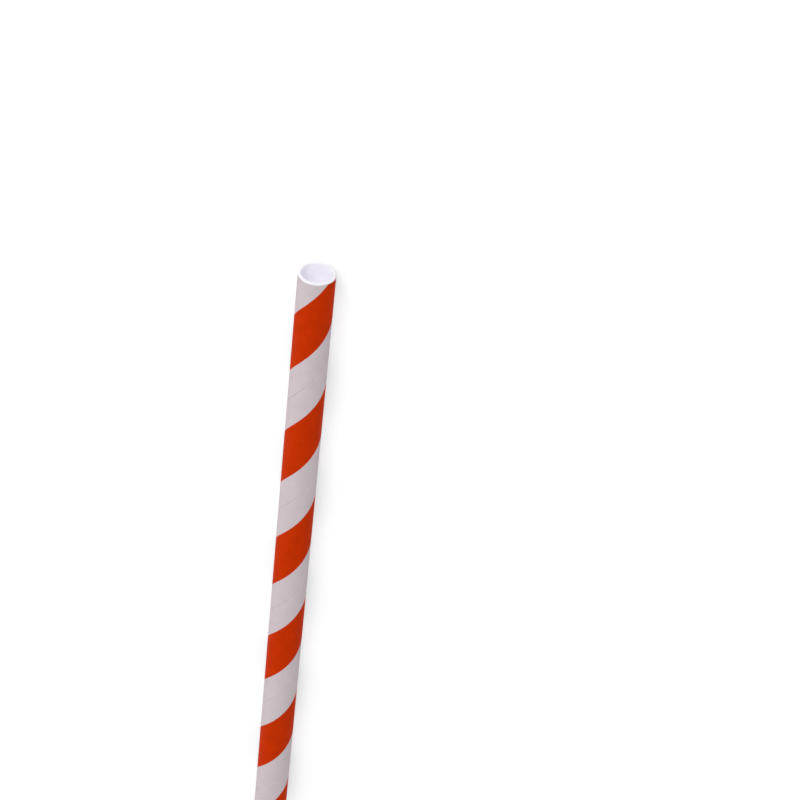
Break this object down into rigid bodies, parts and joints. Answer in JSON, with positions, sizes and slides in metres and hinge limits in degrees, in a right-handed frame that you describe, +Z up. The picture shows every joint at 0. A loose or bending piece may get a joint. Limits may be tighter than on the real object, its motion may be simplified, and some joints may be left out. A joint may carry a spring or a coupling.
{
  "type": "paper drinking straw",
  "caption": "Round open-ended drinking straw wound from glued paper, with a printed red-orange spiral stripe on white, lying on its side.",
  "frame": {"origin": "on the line that the straw rests on, halfway along it", "axes": "+X along the straw's axis towards its mouth end, +Z up, square to the surface it lies on"},
  "size_m": [0.197, 0.006, 0.006],
  "materials": {
    "paper": "matte uncoated paper, white with one printed red-orange stripe wound round it"
  },
  "bodies": {
    "root": {"paper_straw": "paper"}
  },
  "joints": []
}
